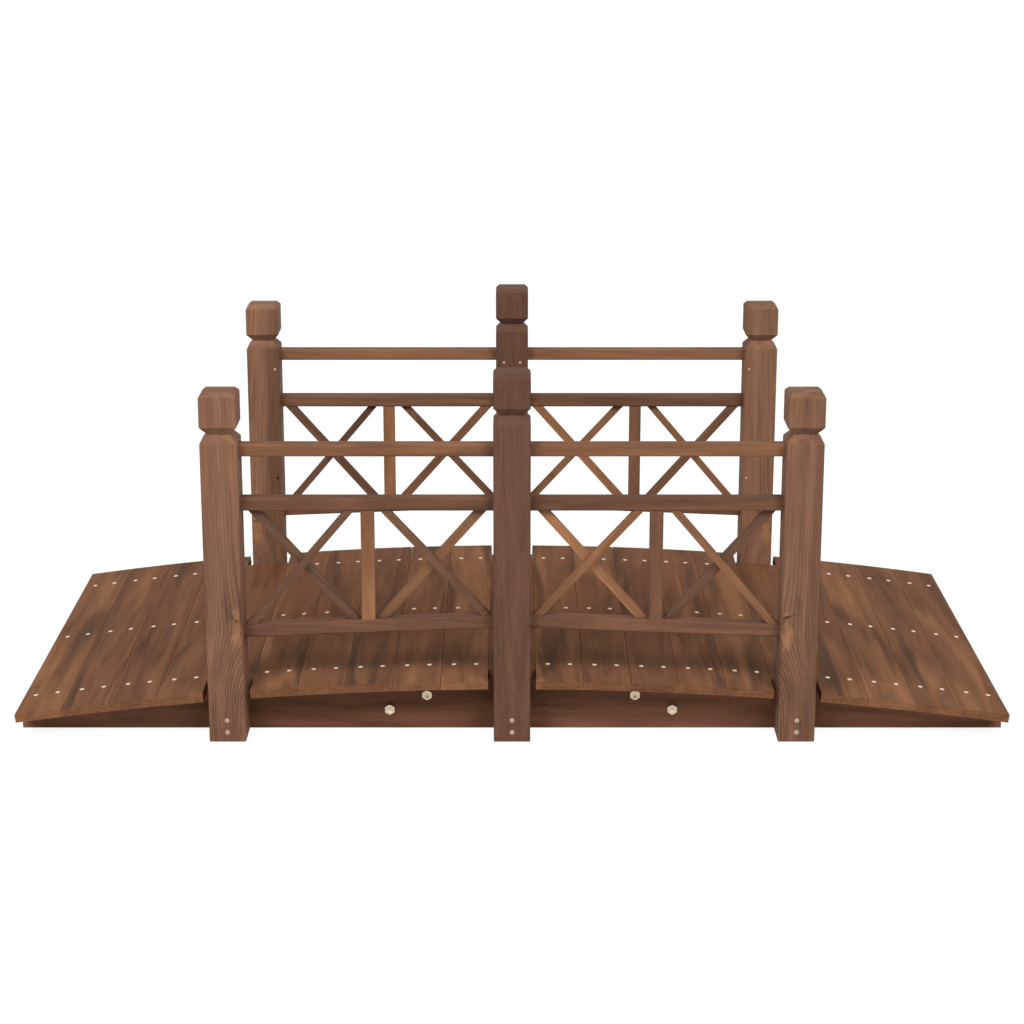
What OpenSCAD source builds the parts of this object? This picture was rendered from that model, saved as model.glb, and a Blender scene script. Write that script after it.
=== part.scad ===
// Arched wooden garden bridge: a boarded deck on three arched beams, six posts with
// notched heads, and a lattice railing along each side. X runs along the walkway and
// Z is up. The origin is on the ground under the middle of the deck.

/* [Deck] */
// Length of the deck from end to end
deck_l = 1500; // [1300:10:1900]
// Number of boards along the deck
board_count = 21; // [17:2:27]
// Boards counted from the middle board to the one between two outer posts
post_board = 6; // [5:1:7]
// Overhang of a board past the outer beam
board_overhang = 50; // [20:1:54]
// Thickness of a board
board_t = 13; // [10:1:20]
// Gap between neighbouring boards
board_gap = 0.5; // [0.5:0.5:4]
// Eased long edges on the top of a board
board_ease = 0.5; // [0.5:0.25:2]
// Gap between a shortened board and the post at its end
board_end_gap = 1; // [0.5:0.5:3]

/* [Beams] */
// Height of a beam at the middle of the bridge
beam_mid_h = 82; // [75:1:100]
// Height of a beam at the ends of the deck
beam_end_h = 28; // [20:1:50]
// Thickness of a beam
beam_t = 45; // [35:1:60]
// Width over the outer faces of the outer beams
beams_w = 560; // [460:10:760]
// Distance of the beam ends from the ends of the deck
beam_inset = 1; // [0:1:10]
// Place of the butt joint between the halves of each beam
joint_x = 29; // [0:1:60]
// Length of the splice board over a joint
splice_l = 540; // [480:10:600]
// Height of a splice board
splice_h = 52; // [48:1:54]
// Thickness of a splice board
splice_t = 22; // [15:1:30]
// Height of a splice board above the ground
splice_z = 14; // [10:1:16]

/* [Posts] */
// Width of a square post
post_w = 55; // [55:1:75]
// Height of the four outer posts
outer_post_h = 540; // [530:1:620]
// Height of the two middle posts
middle_post_h = 569; // [530:1:650]
// Chamfer round the top of a post
cap_chamfer = 6; // [3:0.5:10]
// Height of the block above the groove
cap_h = 50; // [40:1:60]
// Height of the groove round the post
groove_h = 25; // [16:1:30]
// Depth of the groove round the post
groove_d = 11; // [6:0.5:14]
// Eased upright edges of a post
post_ease = 1.5; // [0.5:0.25:3]

/* [Railings] */
// Width of the square handrail
handrail_w = 19.5; // [16:0.5:24]
// Width of the square middle and lower rails
rail_w = 20.5; // [16:0.5:24]
// Rounding of the long edges of the rails
rail_round = 3; // [1:0.25:4]
// Height of the centre of the handrail
handrail_z = 451; // [430:1:456]
// Height of the centre of the middle rail
middle_rail_z = 368.5; // [330:0.5:390]
// Height of the centre of the lower rail at an outer post
lower_rail_end_z = 170.5; // [150:0.5:190]
// Height of the centre of the lower rail at a middle post
lower_rail_mid_z = 185; // [150:0.5:200]
// Width of the upright strut between two crosses
strut_w = 19.5; // [14:0.5:26]
// Depth of the upright strut
strut_t = 18; // [12:0.5:20]
// Width of a brace in the outer layer
outer_brace_w = 11; // [8:0.5:14]
// Width of a brace in the inner layer
inner_brace_w = 13; // [8:0.5:14]
// Thickness of a brace, half of the crossed pair
brace_t = 9; // [6:0.5:10]
// Distance of a brace's upper end from the upright beside it
brace_top_inset = 17; // [12:0.5:24]
// Distance of a brace's lower end from the upright beside it
brace_foot_inset = 11; // [10:0.5:20]

/* [Hidden] */
// Clearance between the flat underside of a board and the arched beam
seat_gap = 0.05;
post_colour = "#86664F";
middle_post_colour = "#6B4E41";
beam_colour = "#52322A";
board_colour = "#78503A";
rail_colour = "#805A42";
brace_colour = "#6A4A38";

// The tops of the beams lie on one arc, and the boards fan along it
rise = beam_mid_h - beam_end_h;
arc_r = (pow(deck_l / 2, 2) + pow(rise, 2)) / (2 * rise);
arc_z = beam_mid_h - arc_r;
board_step = 2 * asin((deck_l + board_gap) / 2 / (arc_r + board_t)) / board_count;
board_w = 2 * arc_r * tan(board_step / 2) - board_gap;
last_board = (board_count - 1) / 2;

beam_y = (beams_w - beam_t) / 2;
beam_end_x = deck_l / 2 - beam_inset;

post_y = (beams_w + post_w) / 2;
outer_post_x = arc_r * sin(post_board * board_step);

// A bay of railing runs from a middle post to an outer post
bay_start = post_w / 2;
bay_end = outer_post_x - post_w / 2;
bay_l = bay_end - bay_start;
strut_x = (bay_start + bay_end) / 2;
lower_rail_slope = atan((lower_rail_mid_z - lower_rail_end_z) / bay_l);
middle_rail_underside = middle_rail_z - rail_w / 2;

near = 0;
far = 180;

function board_name(i) = str("deck_board_", i < 10 ? "0" : "", i);

// Height of the top of the lower rail at a distance x from the middle of the bridge
function lower_rail_top(x) =
    lower_rail_mid_z - (x - bay_start) * tan(lower_rail_slope) + rail_w / 2 / cos(lower_rail_slope);

// Extrudes a side view, drawn in X and Z, evenly to both sides of Y = 0
module side_view(depth) rotate([90, 0, 0]) linear_extrude(depth, center = true) children();

// Puts a railing that is drawn on Y = 0 onto the near side, or turned about onto the far side
module on_side(turn) rotate(turn) translate([0, -post_y, 0]) children();

// Repeats the right bay as the left one
module both_bays() {
    children();
    mirror([1, 0, 0]) children();
}

module post_outline(h) {
    block_z = h - cap_h;
    half = [
        [post_w / 2, 0],
        [post_w / 2, block_z - groove_h],
        [post_w / 2 - groove_d, block_z - groove_h / 2],
        [post_w / 2, block_z],
        [post_w / 2, h - cap_chamfer],
        [post_w / 2 - cap_chamfer, h]
    ];
    other_half = [for (i = [len(half) - 1 : -1 : 0]) [-half[i].x, half[i].y]];
    polygon(concat(half, other_half));
}

module eased_square(w, ease) {
    a = w / 2;
    b = w / 2 - ease;
    polygon([[a, -b], [a, b], [b, a], [-b, a], [-a, b], [-a, -b], [-b, -a], [b, -a]]);
}

// The head is cut by the same outline from two sides
module post(x, y, h, colour) {
    color(colour) translate([x, y, 0]) intersection() {
        side_view(post_w) post_outline(h);
        rotate(90) side_view(post_w) post_outline(h);
        linear_extrude(h) eased_square(post_w, post_ease);
    }
}

module beam_outline(from_x, to_x) {
    intersection() {
        translate([from_x, 0]) square([to_x - from_x, beam_mid_h]);
        translate([0, arc_z]) circle(arc_r, $fn = 1440);
    }
}

module beams(from_x, to_x) {
    color(beam_colour) for (y = [-beam_y, 0, beam_y])
        translate([0, y, 0]) side_view(beam_t) beam_outline(from_x, to_x);
}

// The splice boards lie on the inner faces of the outer beams, and behind the middle one
module splice_boards() {
    step_y = (beam_t + splice_t) / 2;
    color(beam_colour) for (y = [-beam_y + step_y, step_y, beam_y - step_y])
        translate([joint_x - splice_l / 2, y - splice_t / 2, splice_z]) cube([splice_l, splice_t, splice_h]);
}

module board_outline() {
    a = board_w / 2;
    b = board_w / 2 - board_ease;
    polygon([[-a, 0], [a, 0], [a, board_t - board_ease], [b, board_t], [-b, board_t], [-a, board_t - board_ease]]);
}

// A board between two posts is cut short to fit between them
module deck_board(i) {
    at_posts = i == 0 || abs(i) == post_board;
    length = at_posts ? beams_w - 2 * board_end_gap : beams_w + 2 * board_overhang;
    color(board_colour) translate([0, 0, arc_z]) rotate([0, i * board_step, 0])
        translate([0, 0, arc_r + seat_gap]) side_view(length) board_outline();
}

module rail_outline(w) {
    flat = w - 2 * rail_round;
    square([w, flat], center = true);
    square([flat, w], center = true);
    for (x = [-flat / 2, flat / 2], y = [-flat / 2, flat / 2])
        translate([x, y]) circle(rail_round, $fn = 32);
}

module level_rails(turn, z, w) {
    color(rail_colour) on_side(turn) both_bays()
        translate([bay_start, 0, z]) rotate([90, 0, 90]) linear_extrude(bay_l) rail_outline(w);
}

// The lower rail falls towards the outer post, and its ends are cut upright
module lower_rails(turn) {
    color(rail_colour) on_side(turn) both_bays() intersection() {
        translate([bay_start, 0, lower_rail_mid_z]) rotate([0, lower_rail_slope, 0])
            translate([-rail_w, 0, 0]) rotate([90, 0, 90]) linear_extrude(bay_l + 2 * rail_w) rail_outline(rail_w);
        translate([bay_start, -rail_w, 0]) cube([bay_l, 2 * rail_w, middle_rail_z]);
    }
}

// The room between the lower and the middle rail
module panel_outline(from_x, to_x) {
    polygon([
        [from_x, lower_rail_top(from_x)],
        [to_x, lower_rail_top(to_x)],
        [to_x, middle_rail_underside],
        [from_x, middle_rail_underside]
    ]);
}

module struts(turn) {
    color(brace_colour) on_side(turn) both_bays()
        side_view(strut_t) panel_outline(strut_x - strut_w / 2, strut_x + strut_w / 2);
}

// A straight strip from a foot to a top, long enough to be cut by the rails
module brace_strip(foot, top, w) {
    along = (top - foot) / norm(top - foot) * 2 * w;
    across = [-along.y, along.x] / 4;
    polygon([foot - along - across, top + along - across, top + along + across, foot - along + across]);
}

module brace_outline(from_x, to_x, rising, w) {
    foot_x = rising ? from_x + brace_foot_inset : to_x - brace_foot_inset;
    top_x = rising ? to_x - brace_top_inset : from_x + brace_top_inset;
    intersection() {
        brace_strip([foot_x, lower_rail_top(foot_x)], [top_x, middle_rail_underside], w);
        panel_outline(from_x, to_x);
    }
}

// One layer of the crosses: the two panels of a bay lean opposite ways
module braces(turn, layer_y, first_rising, w) {
    color(brace_colour) on_side(turn) both_bays() translate([0, layer_y, 0]) side_view(brace_t) {
        brace_outline(bay_start, strut_x - strut_w / 2, first_rising, w);
        brace_outline(strut_x + strut_w / 2, bay_end, !first_rising, w);
    }
}

module outer_braces(turn) braces(turn, -brace_t / 2, true, outer_brace_w);
module inner_braces(turn) braces(turn, brace_t / 2, false, inner_brace_w);

module outer_post(x, y) post(x, y, outer_post_h, post_colour);
module middle_post(y) post(0, y, middle_post_h, middle_post_colour);

outer_post(-outer_post_x, -post_y);  // near_left_post
middle_post(-post_y);  // near_middle_post
outer_post(outer_post_x, -post_y);  // near_right_post
outer_post(-outer_post_x, post_y);  // far_left_post
middle_post(post_y);  // far_middle_post
outer_post(outer_post_x, post_y);  // far_right_post
beams(-beam_end_x, joint_x);  // left_beams
beams(joint_x, beam_end_x);  // right_beams
splice_boards();
for (i = [1 : board_count])
    deck_board(i - 1 - last_board);
level_rails(near, handrail_z, handrail_w);  // near_handrails
level_rails(near, middle_rail_z, rail_w);  // near_middle_rails
lower_rails(near);  // near_lower_rails
struts(near);  // near_struts
outer_braces(near);  // near_outer_braces
inner_braces(near);  // near_inner_braces
level_rails(far, handrail_z, handrail_w);  // far_handrails
level_rails(far, middle_rail_z, rail_w);  // far_middle_rails
lower_rails(far);  // far_lower_rails
struts(far);  // far_struts
outer_braces(far);  // far_outer_braces
inner_braces(far);  // far_inner_braces
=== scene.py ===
"""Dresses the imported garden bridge: stained spruce, zinc plated fasteners and a plain studio."""

import math
from typing import NamedTuple

import bpy
from mathutils import Matrix, Vector


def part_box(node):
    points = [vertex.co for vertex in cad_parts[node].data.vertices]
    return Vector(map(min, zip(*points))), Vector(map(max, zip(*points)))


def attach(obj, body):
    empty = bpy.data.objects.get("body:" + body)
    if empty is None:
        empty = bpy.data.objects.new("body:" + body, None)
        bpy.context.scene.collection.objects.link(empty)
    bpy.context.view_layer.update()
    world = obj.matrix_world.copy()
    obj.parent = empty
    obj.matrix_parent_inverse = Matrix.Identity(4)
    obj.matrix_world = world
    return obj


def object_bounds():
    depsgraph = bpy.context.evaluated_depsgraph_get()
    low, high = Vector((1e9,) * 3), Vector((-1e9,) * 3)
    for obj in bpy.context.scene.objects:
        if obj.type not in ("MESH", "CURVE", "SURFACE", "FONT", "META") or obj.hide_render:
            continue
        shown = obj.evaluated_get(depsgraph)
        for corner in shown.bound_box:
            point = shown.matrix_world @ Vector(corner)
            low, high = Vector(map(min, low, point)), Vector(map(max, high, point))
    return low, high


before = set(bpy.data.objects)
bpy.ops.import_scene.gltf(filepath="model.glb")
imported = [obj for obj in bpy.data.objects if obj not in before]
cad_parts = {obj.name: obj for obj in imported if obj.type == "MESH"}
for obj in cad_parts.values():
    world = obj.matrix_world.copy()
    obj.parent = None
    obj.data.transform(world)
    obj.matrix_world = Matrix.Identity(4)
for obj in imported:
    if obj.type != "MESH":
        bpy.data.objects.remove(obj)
CAD_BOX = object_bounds()

bl_info = {
    "name": "Garden Bridge",
    "version": (1, 0, 0),
    "blender": (4, 5, 0),
    "location": "View3D > Sidebar > Garden Bridge",
    "description": "Stains the timber of an arched garden bridge and adds its nails, screws and bolts",
    "category": "Object",
}

SIDES = {"near": -1, "far": 1}
OUTER_POSTS = [f"{side}_{place}_post" for side in SIDES for place in ("left", "right")]
MIDDLE_POSTS = [f"{side}_middle_post" for side in SIDES]
BEAMS = ["left_beams", "right_beams", "splice_boards"]
BOARDS = sorted(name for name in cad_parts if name.startswith("deck_board"))

ALONG_X = (0.0, math.radians(90), 0.0)
ALONG_Y = (math.radians(-90), 0.0, 0.0)
ALONG_Z = (0.0, 0.0, 0.0)

# One rail screw is sunk out of sight: its post, and its place in the list of that post's screws
SUNK_SCREW = ("far_left_post", 1)

# A pattern that runs with the grain is drawn this many times longer than it is wide
GRAIN_STRETCH = 10.0
# The wave texture repeats every 2 pi / 20 metres at a scale of 1
WAVE_PERIOD = math.tau / 20
# The shader mix node lists its colour result third
MIXED_COLOUR = 2
WHITE = (1.0, 1.0, 1.0, 1.0)

# Where the camera stands, how many degrees it looks down, its lens in millimetres and its shift
CAMERA_PLACE = (0.0, -3.5314, 1.3486)
CAMERA_DIP = 14.624
CAMERA_LENS = 80.0
CAMERA_SHIFT = -0.098
# Where the lamps hang, and the point that they face
LAMP_PLACES = {
    "left_lamp": (-2.2, -3.1, 3.4),
    "right_lamp": (2.2, -3.1, 3.4),
    "back_lamp": (0.0, 3.4, 2.6),
}
LAMP_AIM = Vector((0.0, 0.0, 0.2))
# The floor lies just under the feet of the bridge, so that no two faces share a place
FLOOR_SIZE = 8.0
FLOOR_DROP = 0.0005
# How far the painted shade on the floor fades in under the ends of the deck
LIGHT_REACH = 0.2


def linear(code):
    """The linear colour, with full alpha, of an sRGB hex value."""
    shares = [int(code[i:i + 2], 16) / 255 for i in (1, 3, 5)]
    return tuple(s / 12.92 if s <= 0.04045 else ((s + 0.055) / 1.055) ** 2.4 for s in shares) + (1.0,)


def colour_setting(name, description, code):
    return bpy.props.FloatVectorProperty(
        name=name, description=description, subtype="COLOR", size=4, min=0.0, max=1.0, default=linear(code))


def size_setting(name, description, millimetres):
    return bpy.props.FloatProperty(
        name=name, description=description, unit="LENGTH", min=0.0, default=millimetres / 1000)


class StainSettings(bpy.types.PropertyGroup):
    """Colours of the stained timber."""

    outer_post: colour_setting("Outer posts", "Stain of the two near outer posts", "#7E5A46")
    # Painted light: a paler copy of the near posts' stain, making up for the lamps that stand in front of
    # the near side
    far_outer_post: colour_setting("Far outer posts", "Stain of the two far outer posts", "#86614B")
    middle_post: colour_setting("Middle posts", "Stain of the two middle posts", "#654739")
    beam: colour_setting("Beams", "Stain of the beams and splice boards", "#6D4735")
    # Painted light: the paler ends lift the shade that falls on the beams under the overhanging deck
    beam_end_painted_light: colour_setting("Beam ends", "Paler stain towards the ends of the beams", "#94674F")
    dark_board: colour_setting("Dark boards", "Stain of the darkest deck boards", "#714A32")
    pale_board: colour_setting("Pale boards", "Stain of the palest deck boards", "#82573B")
    handrail: colour_setting("Handrails", "Stain of the near handrails", "#7E573F")
    # Painted light: paler than the near handrails, making up for the lamps that stand in front of the near
    # side
    far_handrail_painted_light: colour_setting("Far handrails", "Stain of the far handrails", "#865E46")
    dark_rail: colour_setting("Dark rails", "Stain of the darkest middle and lower rails", "#634434")
    pale_rail: colour_setting("Pale rails", "Stain of the palest middle and lower rails", "#765340")
    dark_brace: colour_setting("Dark braces", "Stain of the darkest braces and struts", "#614638")
    pale_brace: colour_setting("Pale braces", "Stain of the palest braces and struts", "#9C6B49")
    streak: colour_setting("Streaks", "Dark streaks where the wood drank more stain", "#432E23")
    # Also lent to the painted highlight on the edges of the deck boards
    warm_patch_and_highlight: colour_setting("Patches", "Warm patches and knots where the wood shows through", "#A87550")
    # Painted shade: the dark of the hole stands in for the shade inside its recess
    hole_shade: colour_setting("Hole", "A small dark hole where a screw is sunk", "#2B1810")


class FastenerSettings(bpy.types.PropertyGroup):
    """Sizes, places and colours of the nails, screws and bolts."""

    nail_head: size_setting("Nail head", "Diameter of a nail head", 7.2)
    nail_spread: size_setting("Nail spread", "Distance between the two nails across a board", 34)
    foot_screw_head: size_setting("Foot screw head", "Diameter of a screw head at the foot of a post", 7)
    foot_screw_low: size_setting("Lower foot screw", "Height of the lower foot screw", 15)
    foot_screw_high: size_setting("Upper foot screw", "Height of the upper foot screw", 34)
    rail_screw_head: size_setting("Rail screw head", "Diameter of a screw head at the end of a rail", 4.5)
    rail_screw_in: size_setting("Rail screw inset", "From the edge of an outer post to its rail screws", 7)
    rail_screw_low: size_setting("Lower rail screw", "Height of the lower one of an outer post", 234)
    rail_screw_high: size_setting("Upper rail screw", "Height of the upper one of an outer post", 429)
    middle_screw_z: size_setting("Middle rail screws", "Height of the rail screws of a middle post", 441)
    middle_screw_spread: size_setting("Middle screw spread", "Distance between those two screws", 28)
    bolt_flats: size_setting("Bolt head", "Width across the flats of a bolt head or nut", 14.5)
    bolt_head: size_setting("Bolt head height", "Height of a bolt head or nut", 5.5)
    bolt_shank: size_setting("Bolt shank", "Diameter of a bolt", 10)
    inner_bolt: size_setting("Inner bolts", "Distance of the inner bolts from the beam joint", 158.5)
    outer_bolt: size_setting("Outer bolts", "Distance of the outer bolts from the beam joint", 215.6)
    inner_bolt_z: size_setting("Inner bolt height", "Height of the inner bolts", 55)
    outer_bolt_z: size_setting("Outer bolt height", "Height of the outer bolts", 31)
    zinc: colour_setting("Zinc", "Bright zinc plating of the nails", "#EFDCC6")
    dull_zinc: colour_setting("Dull zinc", "Duller zinc plating of the screws", "#BDA394")
    yellow_zinc: colour_setting("Yellow zinc", "Yellowish zinc plating of the bolts", "#CBBBA0")


class StageSettings(bpy.types.PropertyGroup):
    """Floor and light of the studio."""

    floor: colour_setting("Floor", "Colour of the pale floor", "#DCDCDA")
    shadow: bpy.props.FloatProperty(
        name="Shadow", description="How dark the shadow shows on the white floor", subtype="FACTOR",
        min=0.0, max=1.0, default=0.12)
    sky: bpy.props.FloatProperty(
        name="Sky", description="Strength of the even light from all round", min=0.0, default=0.3)
    lamp_power: bpy.props.FloatProperty(
        name="Front lamps", description="Power of each of the two lamps in front", unit="POWER",
        min=0.0, default=126.0)
    back_power: bpy.props.FloatProperty(
        name="Back lamp", description="Power of the lamp behind", unit="POWER", min=0.0, default=18.0)
    lamp_size: size_setting("Lamp size", "Width of each lamp", 1800)


class Figure(NamedTuple):
    """How the grain of a kind of timber shows: the distance of the rings and the place of the pith in
    millimetres, how far the rings wander, and how much the late wood, streaks, fibres, dark patches and
    warm patches change the stain."""

    ring: float
    pith: tuple
    wander: float
    late: float
    streak: float
    fibre: float
    dark: float
    warm: float


POST_FIGURE = Figure(
    ring=2.8, pith=(-30, 14), wander=7.0, late=0.28, streak=0.22, fibre=0.14, dark=0.35, warm=0.2)
PLAIN_FIGURE = Figure(
    ring=3.0, pith=(14, 60), wander=3.0, late=0.12, streak=0.1, fibre=0.12, dark=0.15, warm=0.0)
BEAM_FIGURE = Figure(
    ring=6.0, pith=(10, 70), wander=6.0, late=0.14, streak=0.2, fibre=0.1, dark=0.25, warm=0.15)
BOARD_FIGURE = Figure(
    ring=7.0, pith=(6, 38), wander=8.0, late=0.16, streak=0.17, fibre=0.1, dark=0.75, warm=0.45)
RAIL_FIGURE = Figure(
    ring=4.0, pith=(5, 26), wander=5.0, late=0.14, streak=0.16, fibre=0.08, dark=0.4, warm=0.2)
BRACE_FIGURE = Figure(
    ring=3.0, pith=(3, 20), wander=4.0, late=0.2, streak=0.18, fibre=0.1, dark=0.35, warm=0.15)

# Sizes across the grain, in millimetres: streaks, patches that drink more or less stain, and fibres, which
# are drawn coarser than the real ones, so that they show
STREAK_SIZE = 14
THIRST_SIZE = 48
FIBRE_SIZE = 2.5
# Length in millimetres of the stretches in which the rings show more or less
CLEAR_SIZE = 150
# All rings wander over the same length, which the wave texture gives to rings this many millimetres apart
WANDER_RING = 22
# The grain slopes a little from the length of a piece
GRAIN_SLOPE = (math.radians(0.8), math.radians(0.9))
# How far up the tree one piece is cut from the next
SEED_STEP = 0.73
# How far apart in depth the two bays take the grain of their braces, so that it differs
BAYS_APART = 0.1
# Over what height the stain of a post changes to that of its head
HEAD_FADE = 0.002
# Radius of the painted shade in the hole of a sunk screw, and how much of the stain it hides
HOLE_RADIUS = 0.004
HOLE_SHADE_SHARE = 0.95

# The marks of a knot: how far towards the nearer edge and how far up, half the width and height, all in
# millimetres, then the turn in degrees, the colour and its share
KNOT_MARKS = (
    (-2, -22, 12, 26, 0, "warm_patch_and_highlight", 0.65),
    (0, 12, 5, 14, 0, "warm_patch_and_highlight", 0.45),
    (-16, 25, 7, 40, 0, "streak", 0.35),
    (-4, 6, 14, 2.6, 40, "streak", 0.9),
)
# How far a knot is from the middle of its post towards an edge, and its height on a near and a far post
KNOT_OFF = 0.02
NEAR_KNOT_Z = 0.19
FAR_KNOT_Z = 0.155
# Half the width and height of the place where the grain bends round a knot, and how far the rings shift
BEND_SIZE = (0.04, 0.08)
BEND_SHIFT = 4.0
# Size in millimetres of the noise by which the outlines at a knot stray, and how far it takes them
STRAY_SIZE = 18
STRAY_REACH = (0.02, 0.0, 0.03)
# The rings fade from this far below a knot to this far above it
FADE_BELOW = 0.1
FADE_ABOVE = 0.2
# How far the rings of a knotted piece lean sideways between its foot and the knot, and how far outside
# the knot their arches stand
ARCH_RISE = 0.042
ARCH_OUT = 0.018
# How fast the grain changes above a knot, as a share of what it does below
ABOVE_KNOT = 0.4
# How far the painted highlight goes in from the edge of a board, and how much of the stain it replaces
# there
EDGE_HIGHLIGHT_WIDTH = 0.003
EDGE_HIGHLIGHT_SHARE = 0.15
# An oval mark is this deep, so that it goes right through a piece
THROUGH = 1000.0

# Size in millimetres of the crystals of the zinc plating, coarser than the real ones, so that they show,
# and how far they change its roughness
CRYSTAL_SIZE = 1.5
CLOUDING = 0.08


def add_node(tree, kind, settings, inputs, stops=()):
    """Adds a node, gives it its settings and colour stops, and fills its inputs with values or links."""
    node = tree.nodes.new(kind)
    for name, value in settings.items():
        setattr(node, name, value)
    for name, value in inputs.items():
        socket = next(s for s in node.inputs if s.identifier == name)
        if isinstance(value, bpy.types.NodeSocket):
            tree.links.new(value, socket)
        else:
            socket.default_value = value
    if stops:
        elements = node.color_ramp.elements
        elements.remove(elements[1])
        elements[0].position, elements[0].color = stops[0]
        for position, colour in stops[1:]:
            elements.new(position).color = colour
    return node


def new_material(name):
    material = bpy.data.materials.new(name)
    material.use_nodes = True
    material.node_tree.nodes.clear()
    return material


def levels(node, axis):
    """The places, in order, of a node's flat faces across an axis."""
    return sorted({round(vertex.co[axis], 5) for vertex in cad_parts[node].data.vertices})


def middle(node):
    low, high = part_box(node)
    return (low + high) / 2


def board_top(name):
    """The middle of a board's top face, and the direction that it faces."""
    face = max(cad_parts[name].data.polygons, key=lambda p: p.normal.z * p.area)
    centre = middle(name)
    normal = face.normal.copy()
    return centre + normal * (face.center - centre).dot(normal), normal


def brace_lean(node):
    """The angle of a layer of braces from the level, from its largest sloping faces."""
    sloping = [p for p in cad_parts[node].data.polygons if abs(p.normal.y) < 0.5]
    normal = max(sloping, key=lambda p: p.area).normal
    return math.atan2(abs(normal.x), abs(normal.z))


def side_of(post):
    """Which way along Y a post's outer side faces."""
    return SIDES[post.split("_")[0]]


def strut_place():
    """How far the middle of a strut is from the middle of the bridge."""
    return sum(levels("near_struts", 0)[-2:]) / 2


def rail_screw_places(post, fasteners):
    """Where the rail screws of a post are, along the bridge and up."""
    if post in MIDDLE_POSTS:
        off = fasteners.middle_screw_spread / 2
        return [(-off, fasteners.middle_screw_z), (off, fasteners.middle_screw_z)]
    low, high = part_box(post)
    x = low.x + fasteners.rail_screw_in if low.x > 0 else high.x - fasteners.rail_screw_in
    return [(x, fasteners.rail_screw_high), (x, fasteners.rail_screw_low)]


def stretches(tones):
    """Where each tone starts: at the ends of the two bays, or of the four panels of the lattice."""
    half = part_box("near_right_post")[0].x
    strut = strut_place()
    starts = [-half, 0.0] if len(tones) == 2 else [-half, -strut, 0.0, strut]
    return list(zip(starts, tones))


def tone_stain(tree, place, tones, fade, dark, pale):
    """A stain that changes along X, from stretch to stretch or in a slow fade."""
    half = CAD_BOX[1][0]
    along = add_node(tree, "ShaderNodeMapRange", {}, {
        "Value": place.outputs["X"], "From Min": -half, "From Max": half})
    stops = [((x + half) / (2 * half), (tone, tone, tone, 1.0)) for x, tone in tones]
    stretch = add_node(tree, "ShaderNodeValToRGB", {}, {"Fac": along.outputs["Result"]}, stops)
    stretch.color_ramp.interpolation = "LINEAR" if fade else "CONSTANT"
    blend = add_node(tree, "ShaderNodeMix", {"data_type": "RGBA"}, {
        "Factor_Float": stretch.outputs["Color"], "A_Color": dark, "B_Color": pale})
    return blend.outputs[MIXED_COLOUR]


def tone_head(tree, place, post, stain, share):
    """A stain that gets paler or darker above the groove of a post."""
    # The deepest line of the groove is the fourth level from the top
    groove = levels(post, 2)[-4]
    change = add_node(tree, "ShaderNodeMapRange", {}, {
        "Value": place.outputs["Z"], "From Min": groove, "From Max": groove + HEAD_FADE,
        "To Min": 1.0, "To Max": share})
    toned = add_node(tree, "ShaderNodeHueSaturation", {}, {
        "Color": stain, "Value": change.outputs["Result"]})
    return toned.outputs["Color"]


def lean_with_braces(tree, place, lean):
    """Coordinates that stand upright along the braces, which lean one way beside the middle post and
    the other way beside the outer post."""
    strut = strut_place()
    outwards = add_node(tree, "ShaderNodeMath", {"operation": "ABSOLUTE"}, {"Value": place.outputs["X"]})
    inner_panel = add_node(tree, "ShaderNodeMath", {"operation": "LESS_THAN"}, {
        "Value": outwards.outputs["Value"], "Value_001": strut})
    angle = add_node(tree, "ShaderNodeMath", {"operation": "MULTIPLY_ADD"}, {
        "Value": inner_panel.outputs["Value"], "Value_001": 2 * lean, "Value_002": -lean})
    bay = add_node(tree, "ShaderNodeMath", {"operation": "SIGN"}, {"Value": place.outputs["X"]})
    depth = add_node(tree, "ShaderNodeMath", {"operation": "MULTIPLY_ADD"}, {
        "Value": bay.outputs["Value"], "Value_001": BAYS_APART, "Value_002": place.outputs["Y"]})
    folded = add_node(tree, "ShaderNodeCombineXYZ", {}, {
        "X": outwards.outputs["Value"], "Y": depth.outputs["Value"], "Z": place.outputs["Z"]})
    turned = add_node(tree, "ShaderNodeVectorRotate", {"rotation_type": "Y_AXIS"}, {
        "Vector": folded.outputs["Vector"], "Center": (strut, 0.0, 0.0), "Angle": angle.outputs["Value"]})
    return turned.outputs["Vector"]


def arch_to_knot(tree, place, knot):
    """Coordinates whose X follows arches that rise from the foot of a piece to its knot, and run upright
    from there on, with longer and straighter grain."""
    x, z, edge = knot
    rise = add_node(tree, "ShaderNodeMapRange", {"interpolation_type": "SMOOTHSTEP"}, {
        "Value": place.outputs["Z"], "From Max": z, "To Max": ARCH_RISE})
    beside = add_node(tree, "ShaderNodeMath", {"operation": "SUBTRACT"}, {
        "Value": place.outputs["X"], "Value_001": x + edge * ARCH_OUT})
    legs = add_node(tree, "ShaderNodeCombineXYZ", {}, {
        "X": beside.outputs["Value"], "Y": rise.outputs["Result"]})
    out = add_node(tree, "ShaderNodeVectorMath", {"operation": "LENGTH"}, {
        "Vector": legs.outputs["Vector"]})
    drawn_out = add_node(tree, "ShaderNodeMath", {"operation": "MULTIPLY_ADD"}, {
        "Value": place.outputs["Z"], "Value_001": ABOVE_KNOT, "Value_002": z * (1 - ABOVE_KNOT)})
    height = add_node(tree, "ShaderNodeMath", {"operation": "MINIMUM"}, {
        "Value": place.outputs["Z"], "Value_001": drawn_out.outputs["Value"]})
    arched = add_node(tree, "ShaderNodeCombineXYZ", {}, {
        "X": out.outputs["Value"], "Y": place.outputs["Y"], "Z": height.outputs["Value"]})
    return arched.outputs["Vector"]


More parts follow.
